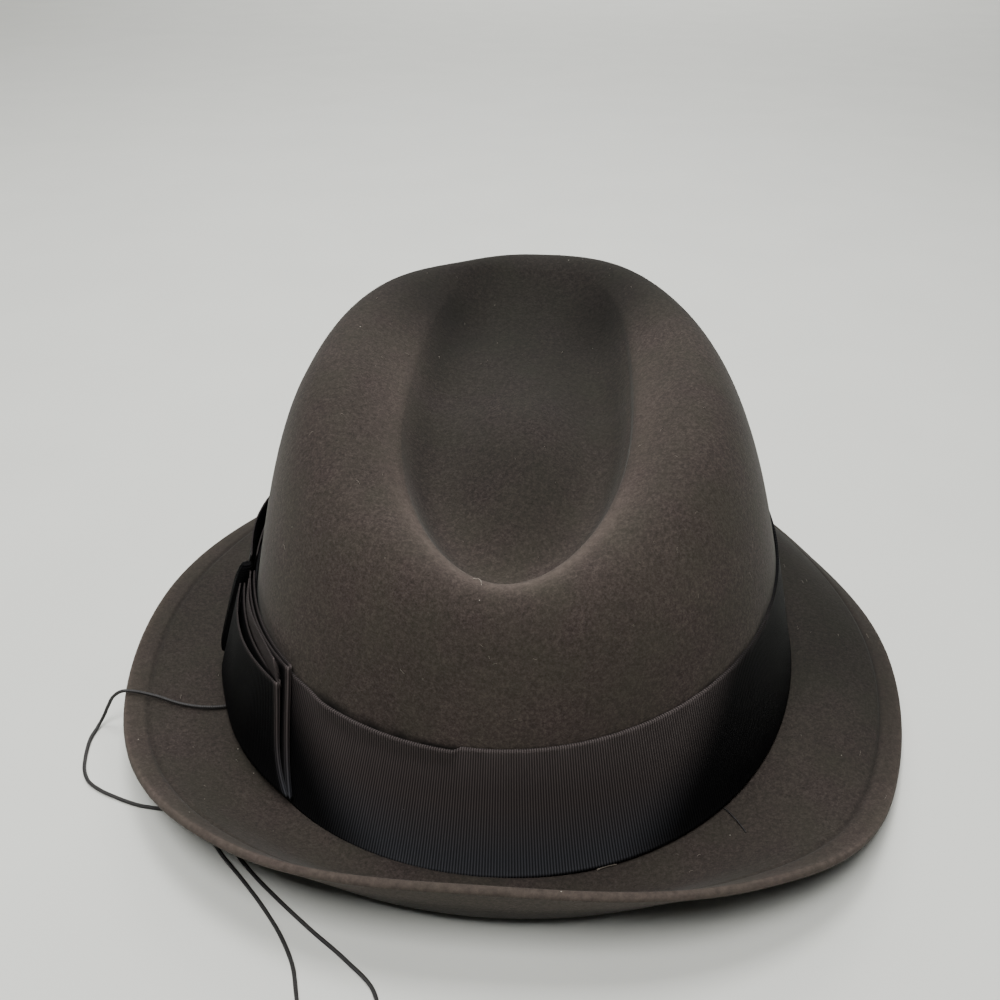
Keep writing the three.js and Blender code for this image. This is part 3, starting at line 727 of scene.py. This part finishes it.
# Lint scattered over the felt, one curled hair by the dent's rim, one dark thread and one pale stitch.
def addLint(sizes):
    t = np.linspace(0, 1, 6)
    skins = []
    for surface, count, low, high in ((wallPoint, sizes["onWall"], 0.32, 0.98),
                                      (brimPoint, sizes["onBrim"], 0.1, 0.95),
                                      (dentPoint, sizes["onDent"], 0.2, 0.95)):
        for turn, share, way, bend, size in zip(
                randomNumbers.uniform(0, 2 * np.pi, count), randomNumbers.uniform(low, high, count),
                randomNumbers.uniform(0, 2 * np.pi, count), randomNumbers.normal(0, sizes["bend"], count),
                randomNumbers.uniform(*sizes["length"], count)):
            heading = way + bend * t
            step = size / len(t)
            turns = turn + np.cumsum(np.cos(heading)) * step / sizes["mmRound"]
            shares = np.clip(share + np.cumsum(np.sin(heading)) * step / sizes["mmUp"], 0.02, 0.99)
            skins.append(fibreOn(surface, turns, shares, sizes["rise"], sizes["radius"]))
    skins.append(fibreThrough(wallPoint, sizes["curled"], 40, sizes["riseLong"], sizes["curledRadius"], 6))
    skins.append(fibreThrough(brimPoint, sizes["stitch"], 14, sizes["riseLong"], sizes["stitchRadius"], 8))
    makePiece("feltLint", *joinSkins(skins), paleThread, "felt")
    loose = fibreThrough(brimPoint, sizes["loose"], 24, sizes["riseLoose"], sizes["looseRadius"], 6)
    makePiece("looseThread", *loose, darkThread, "ribbon")


addLint(lintSizes)
print("lint and threads made")

ribbonSizes = dict(
    low=1.0, high=38.5, inner=0.25, outer=0.85, columns=1200, rows=26,
    crowding=0.06,  # how much closer together its rows are at the selvedges
    bead=0.12, beadWidth=0.5,  # the selvedge's thickened edge
    gap=1.0, gapFrom=6.5, gapRise=2, gapEnd=(34, 40), gapHeight=7,  # its top stands off between these degrees
    step=0.5, stepWidth=1.2,  # a small step down where the gap starts
    pucker=0.16, puckerPitch=1.7, puckerHeight=2, puckerUp=0.7, puckerStart=(-75, -60),  # right of the step
    mmRound=93,  # to one radian
    highlightShare=0.62, highlightTurn=28, highlightWider=0.6, highlightBlur=8,  # a painted highlight at the rear: degrees, more with height
    fadedTop=0.15, fadedTopWidth=1.3, paleFoot=0.3, paleFootWidth=0.5,  # along its selvedges
    seam=73.5,  # degrees, where the ribbon is joined under the bow
)


# A point by its turn round the hat, its way up the wall from the foot, and its distance off the felt.
def ribbonPoint(turn, up, off):
    turn, up, off = np.broadcast_arrays(*(np.asarray(v, float) for v in (turn, up, off)))
    foot = footPoint(turn)
    share = up / (rimPoint(turn)[..., 2] - foot[..., 2]) / 3
    for _ in range(6):
        share = share * up / np.maximum(np.linalg.norm(wallPoint(turn, share) - foot, axis=-1), 0.1)
    return wallPoint(turn, share) + outward(turn) * off[..., None]


# The band: an outer face and an inner face round the crown, joined over both selvedges. Its distance off the
# felt is its thickness, a Gaussian bead on each selvedge, the gap and a sine pucker.
def addBand(sizes):
    columns, low, high = (sizes[key] for key in ("columns", "low", "high"))
    turn = ringAngles(columns) + sizes["seam"] * degree
    signed = ((turn / degree + 180) % 360) - 180
    share = np.linspace(0, 1, sizes["rows"])
    share = share + sizes["crowding"] * np.sin(2 * np.pi * -share)
    up = low + (high - low) * share
    edge = sizes["gapFrom"]
    standing = smoothStep(signed, edge, edge + sizes["gapRise"]) * (1 - smoothStep(signed, *sizes["gapEnd"]))
    atTop = smoothStep(up, high - sizes["gapHeight"], high)[:, None]
    sewn = (1 - smoothStep(signed, edge, edge + 1)) * smoothStep(signed, *sizes["puckerStart"])
    wave = (np.sin(turn * sizes["mmRound"] / sizes["puckerPitch"])
            * smoothStep(up, high - sizes["puckerHeight"], high)[:, None])
    step = -sizes["step"] * smoothStep(signed, edge, edge + sizes["stepWidth"])[None] * atTop ** 2
    bead = sizes["bead"] * (bell(up, low, sizes["beadWidth"]) + bell(up, high, sizes["beadWidth"]))
    heights = up[:, None] + step + wave * sewn * sizes["pucker"] * sizes["puckerUp"]
    off = sizes["outer"] + bead[:, None] + sizes["gap"] * standing * atTop + wave * sewn * sizes["pucker"]
    outer = ribbonPoint(turn[None], heights, off)
    inner = ribbonPoint(turn[None], heights, off - bead[:, None] - (sizes["outer"] - sizes["inner"]))
    rings = np.concatenate([outer, inner[::-1]]) + hatShift
    count = columns + 1
    quads = gridFaces(len(rings), count, True, False)[:, ::-1]
    walked = walkedAlong(np.concatenate([rings[0], rings[0, :1]]))
    height = np.concatenate([up, up[::-1]])
    uv = clothMap(walked[None], height[:, None])
    wrap = np.arange(len(rings))[:, None] * columns + (np.arange(count) % columns)[None]
    # a painted highlight at the rear, wider with height, and paler selvedges
    spread = sizes["highlightTurn"] + sizes["highlightWider"] * (height - 10)[:, None]
    beside = smoothStep(np.abs(signed + 1), spread - sizes["highlightBlur"], spread + sizes["highlightBlur"])
    paleAndHighlight = (sizes["highlightShare"] * (1 - beside)
             + sizes["fadedTop"] * bell(height, high, sizes["fadedTopWidth"])[:, None] * sewn
             + sizes["paleFoot"] * bell(height, low, sizes["paleFootWidth"])[:, None])
    piece = makePiece("ribbonBand", rings.reshape(-1, 3), wrap.ravel()[quads], grosgrain, "ribbon", uv, quads,
                      dict(paleAndHighlight=paleAndHighlight))
    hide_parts("ribbon_band")
    return walked[-1]


bandLength = addBand(ribbonSizes)
print("ribbon made,", round(bandLength), "mm round")

bow = dict(
    knot=73.5, rearStart=70.5, frontStart=76.5,  # degrees round the hat from its rear
    flare=4.0, flareSpread=9.0,  # mm that the layers' foot stands off near the knot
    thickness=0.42, arc=102.0,  # mm of ribbon to one radian, on average
    legPoints=60, foldPoints=14, rows=40, tailRows=16,
    rippleTurn=0.35, rippleUp=4.2,  # radians of ripple to one mm, and to the whole height
    foldPale=0.55, fold=(0.965, 0.995), edgePale=0.3, edge=(0.965, 0.99),  # paler along the folds and edges
    knotLow=5.0, knotHigh=40.5, knotWidth=6.4, knotDepth=5.6, knotOff=1.05, knotRows=44, knotSides=64,
    gather=0.035, gathers=9, waist=0.14, squareness=0.7, roundness=7,  # gathers along it, and its shape
)
bowLoops = {  # fold in degrees, slant and curl further, heights up the wall, distances off the felt
    "bowLoopLower": dict(
        node="bow_loop_lower", start="rearStart", fold=41.0, slant=6.0, curl=1.2, low=3.2, high=41.0,
        near=1.4, far=2.5, bulge=0.2, settle=0.15, ripple=0.12),
    "bowLoopUpper": dict(
        node="bow_loop_upper", start="rearStart", fold=42.4, slant=3.6, curl=3.4, low=4.0, high=36.6,
        near=3.6, far=4.9, bulge=1.5, settle=0.42, ripple=0.25),
    "bowLoopFront": dict(
        node="bow_loop_front", start="frontStart", fold=108.0, slant=0.0, curl=0.0, low=3.0, high=38.8,
        near=1.4, far=3.0, bulge=3.2, settle=0.1, ripple=0.2),
}
tailSizes = dict(start=68.5, end=45.6, slant=2.5, offStart=2.8, offEnd=4.2, paleShare=0.4,
                 lowStart=38.0, highStart=41.0, lowEnd=36.2, highEnd=41.6, wave=0.35, ripple=0.15,
                 frays=46, frayLength=2.6, frayRadius=0.07)  # degrees, and mm as for the loops


# How far the bow's layers are pushed out at their foot near the knot: a Gaussian in the turn, less with height.
def bowStandOff(turn, up):
    beside = bell(turn / degree, bow["knot"], bow["flareSpread"])
    return bow["flare"] * beside * np.clip(1 - up / ribbonSizes["high"], 0, 1)


# A folded ribbon: a path of (turn, distance off the felt) with a thickness, drawn up the wall between two
# heights. Its turn slants with the height, its foot curls back and settles towards the felt, each more with
# the way along, and it ripples as a sine.
def stripSurface(turn, off, low, high, slant, curl, settle, ripple, rows):
    arc = turn * degree * bow["arc"]
    along = unit(np.stack([np.gradient(arc), np.gradient(off)], 1))
    half = bow["thickness"] / 2
    sides = [(arc + sign * -along[:, 1] * half, off + sign * along[:, 0] * half) for sign in (1, -1)]
    loopArc = np.concatenate([sides[0][0], sides[1][0][::-1]])
    loopOff = np.concatenate([sides[0][1], sides[1][1][::-1]])
    lows, highs = (np.concatenate([v, v[::-1]]) for v in (low, high))
    share = np.abs(loopArc - arc[0]) / np.abs(arc - arc[0]).max()
    h = np.linspace(0, 1, rows)[:, None]
    up = lows[None] + (highs - lows)[None] * h
    skew = slant * (h - 0.5) * share[None] - curl * (1 - h) ** 4 * share[None] ** 2
    turns = loopArc[None] / bow["arc"] + degree * skew
    sink = 1 - settle * (1 - h) * share[None] ** 2
    phase = loopArc[None] * bow["rippleTurn"] + h * bow["rippleUp"]
    wave = ripple * share[None] * np.sin(phase) * np.sin(h * np.pi)
    rings = ribbonPoint(turns, up, loopOff[None] * sink + wave + bowStandOff(turns, up)) + hatShift
    count = len(loopArc)
    quads = gridFaces(rows, count, False, True)
    i = np.arange(len(turn) - 1)
    lid = np.stack([i, i + 1, count - 2 - i, count - 1 - i], 1)
    top = lid[:, ::-1] + (rows - 1) * count
    faces = halved(np.vstack([quads, lid, top]))
    walked = np.concatenate([[0], np.cumsum(np.hypot(np.diff(arc), np.diff(off)))])
    uv = clothMap(np.concatenate([walked, walked[::-1]])[None], up)
    # paler along the folds and edges
    folded = (bow["foldPale"] * smoothStep(share, *bow["fold"])[None]
              + bow["edgePale"] * smoothStep(h, *bow["edge"]))
    return rings.reshape(-1, 3), faces, uv, walked[-1], dict(paleAndHighlight=np.clip(folded, 0, 1))


# Out along the hat, round a fold and back, further off the felt: two legs and a half circle.
def addLoop(name, loop):
    start, sign = bow[loop["start"]], np.sign(loop["fold"] - bow[loop["start"]])
    radius = (loop["far"] - loop["near"]) / 2
    turnRadius = radius / bow["arc"] / degree
    share = np.linspace(0, 1, bow["legPoints"])
    leg = start + (loop["fold"] - sign * turnRadius - start) * share
    bend = np.linspace(0, np.pi, bow["foldPoints"])[1:-1]
    swell = loop["bulge"] * np.sin(np.clip(share * 1.02, 0, 1) * np.pi) ** 1.2
    turn = np.concatenate([leg, leg[-1] + sign * turnRadius * np.sin(bend), leg[::-1]])
    off = np.concatenate([loop["near"] + swell * 0.25, loop["near"] + radius * (1 - np.cos(bend)),
                          (loop["far"] + swell)[::-1]])
    low, high = np.full(len(turn), loop["low"]), np.full(len(turn), loop["high"])
    points, faces, uv, length, fields = stripSurface(
        turn, off, low, high, loop["slant"], loop["curl"], loop["settle"], loop["ripple"], bow["rows"])
    piece = makePiece(name, points, faces, grosgrain, "ribbon", uv, fields=fields)
    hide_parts(loop["node"])


for loopName, loopSizes in bowLoops.items():
    addLoop(loopName, loopSizes)


# The short tail: one layer that widens from the knot to its cut end, which is frayed into threads.
def addTail(sizes):
    share = np.linspace(0, 1, 50)
    between = lambda a, b: a + (b - a) * share
    turn = between(sizes["start"], sizes["end"])
    off = between(sizes["offStart"], sizes["offEnd"]) + sizes["wave"] * np.sin(share * np.pi * 2)
    low, high = between(sizes["lowStart"], sizes["lowEnd"]), between(sizes["highStart"], sizes["highEnd"])
    points, faces, uv, length, fields = stripSurface(
        turn, off, low, high, sizes["slant"], 0.0, 0.0, sizes["ripple"], bow["tailRows"])
    skins = [(points, faces, uv)]
    t = np.linspace(0, 1, 5)
    for h, reach, drop, swing in zip(*(randomNumbers.uniform(low, high, sizes["frays"]) for low, high in (
            (0.02, 0.98), (0.35, 1.0), (-0.4, 1.6), (-0.5, 0.7)))):  # share of the end, share of length, mm, mm
        up = low[-1] + (high[-1] - low[-1]) * h
        frayed = t * reach * sizes["frayLength"] / bow["arc"]
        turns = (turn[-1] + sizes["slant"] * (h - 0.5)) * degree - frayed
        thread = ribbonPoint(turns, up - t ** 2 * drop, off[-1] + t * swing) + hatShift
        ringPoints, ringFaces = cappedGrid(tubePoints(thread, sizes["frayRadius"] * (1 - 0.5 * t), 5))
        skins.append((ringPoints, ringFaces, np.full((len(ringPoints), 2), 0.35)))  # as high on the ribbon
    points, faces, uv = joinSkins(skins)
    paleAndHighlight = np.full(len(points), 1.0)
    paleAndHighlight[:fields["paleAndHighlight"].size] = np.maximum(fields["paleAndHighlight"].ravel(), sizes["paleShare"])
    piece = makePiece("bowTail", points, faces, grosgrain, "ribbon", uv, fields=dict(paleAndHighlight=paleAndHighlight))
    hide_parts("bow_tail")
    return length


tailLength = addTail(tailSizes)


# The wrap round the bow's middle: a padded block whose section is a superellipse, narrowed by its waist and its
# rounded ends, with sine gathers along it.
def addKnot(sizes):
    angle = ringAngles(sizes["knotSides"])
    h = np.linspace(0, 1, sizes["knotRows"])[:, None]
    up = sizes["knotLow"] + (sizes["knotHigh"] - sizes["knotLow"]) * h
    ends = np.clip(1 - np.abs(2 * h - 1) ** sizes["roundness"], 0.02, 1) ** 0.5
    waist = 1 - sizes["waist"] + sizes["waist"] * np.cos((h - 0.2) * 4)
    square = lambda v: np.sign(v) * np.abs(v) ** sizes["squareness"]
    gather = 1 + sizes["gather"] * np.sin(angle * sizes["gathers"] + 0.8 * np.sin(h * 5))
    across = square(np.cos(angle))[None] * sizes["knotWidth"] / 2 * waist * ends * gather
    depth = sizes["knotDepth"] / 2
    off = sizes["knotOff"] + depth + depth * square(np.sin(angle))[None] * ends * gather
    turns = sizes["knot"] * degree + across / sizes["arc"]
    rings = ribbonPoint(turns, up, off + bowStandOff(turns, up)) + hatShift
    points, faces = cappedGrid(rings[::-1])
    v = np.broadcast_to(angle[None] * 0.03, rings.shape[:2])  # about 3 mm of cloth to one radian
    uv = np.stack([np.broadcast_to(up / clothUnit, v.shape), v], -1).reshape(-1, 2)
    piece = makePiece("bowKnot", points, faces, grosgrain, "ribbon", np.vstack([uv, [[0, 0], [0.4, 0]]]))
    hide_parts("bow_knot")


addKnot(bow)
print("bow made, with a tail of", round(tailLength), "mm")

stageSizes = dict(floor="d9dad3", shade=0.97, patch=35.0, roughness=0.6, size=9.0,  # mm, metres
                  world="e2e3e1", worldStrength=0.05)


# A plain pale floor under the part and a soft pale world.
def addStage(sizes):
    material, tree = newMaterial("paintedTable")
    dark = tuple(c * sizes["shade"] for c in hexColour(sizes["floor"])[:3]) + (1.0,)
    patches = spreadNoise(tree, sizes["patch"], 0.0, 1.0)
    colour = mixColours(tree, patches, dark, sizes["floor"])
    addShader(tree, {"Base Color": colour, "Roughness": sizes["roughness"]})
    half = sizes["size"] / 2
    mesh = bpy.data.meshes.new("floor")
    corners = [(-half, -half, 0), (half, -half, 0), (half, half, 0), (-half, half, 0)]
    mesh.from_pydata(corners, [], [(0, 1, 2, 3)])
    mesh.materials.append(material)
    floor = bpy.data.objects.new("floor", mesh)
    bpy.context.scene.collection.objects.link(floor)
    world = bpy.data.worlds.new("softRoom")
    world.use_nodes = True
    background = world.node_tree.nodes["Background"]
    background.inputs["Color"].default_value = hexColour(sizes["world"])
    background.inputs["Strength"].default_value = sizes["worldStrength"]
    bpy.context.scene.world = world


lamps = [  # name, place and aim in metres, size in metres, watts
    ("keyLamp", (0.1, 0.47, 1.18), (0, 0, 0.05), 0.55, 16),
    ("ceilingLamp", (0.05, -0.3, 1.2), (0, 0, 0.05), 0.4, 11),
    ("farLamp", (0.75, -0.7, 1.1), (0, 0, 0.05), 0.7, 3),
    ("floorWash", (0.0, -2.6, 1.7), (0, -2.6, 0), 2.0, 70),  # on the floor behind the hat
]


# A square soft lamp that faces its aim.
def addLamp(name, place, aim, size, watts):
    lamp = bpy.data.lights.new(name, "AREA")
    lamp.size = size
    lamp.energy = watts
    holder = bpy.data.objects.new(name, lamp)
    holder.location = place
    holder.rotation_euler = (Vector(aim) - Vector(place)).to_track_quat("-Z", "Y").to_euler()
    bpy.context.scene.collection.objects.link(holder)


addStage(stageSizes)
for lamp in lamps:
    addLamp(*lamp)
print("floor and light made")
